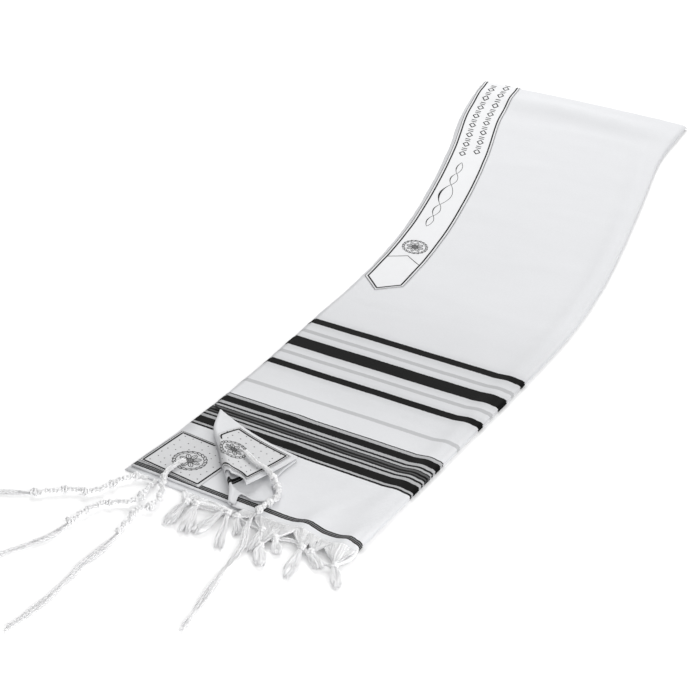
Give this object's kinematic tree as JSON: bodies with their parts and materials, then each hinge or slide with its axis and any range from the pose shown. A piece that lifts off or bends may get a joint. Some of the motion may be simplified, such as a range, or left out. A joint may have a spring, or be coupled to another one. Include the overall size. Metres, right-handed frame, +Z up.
{
  "type": "tallit prayer shawl",
  "caption": "Striped white prayer shawl with fringed ends, folded and laid flat, a corner turned back to show its patch; neckband and knotted corner tassels.",
  "frame": {"origin": "middle of the folded shawl's underside, on the surface it lies on", "axes": "+Y along the shawl from its fringed ends to its cross fold, +X towards its lengthwise fold, +Z up"},
  "size_m": [0.4182, 1.1281, 0.0165],
  "materials": {
    "shawl cloth": "soft plain weave, white with black stripes",
    "neckband satin": "white satin with thin black lines",
    "patch satin": "white satin with thin black lines",
    "tzitzit yarn": "twisted white wool cord",
    "fringe yarn": "soft white yarn"
  },
  "bodies": {
    "root": {"folded_layers": "shawl cloth", "top_layer": "shawl cloth", "turned_corner_inner": "shawl cloth", "turned_corner_outer": "shawl cloth", "neckband": "neckband satin", "patch_lying": "patch satin", "patch_turned": "patch satin", "tzitzit_1": "tzitzit yarn", "tzitzit_2": "tzitzit yarn", "tzitzit_3": "tzitzit yarn", "tzitzit_4": "tzitzit yarn", "fringe_top": "fringe yarn", "fringe_lower": "fringe yarn"}
  },
  "joints": []
}
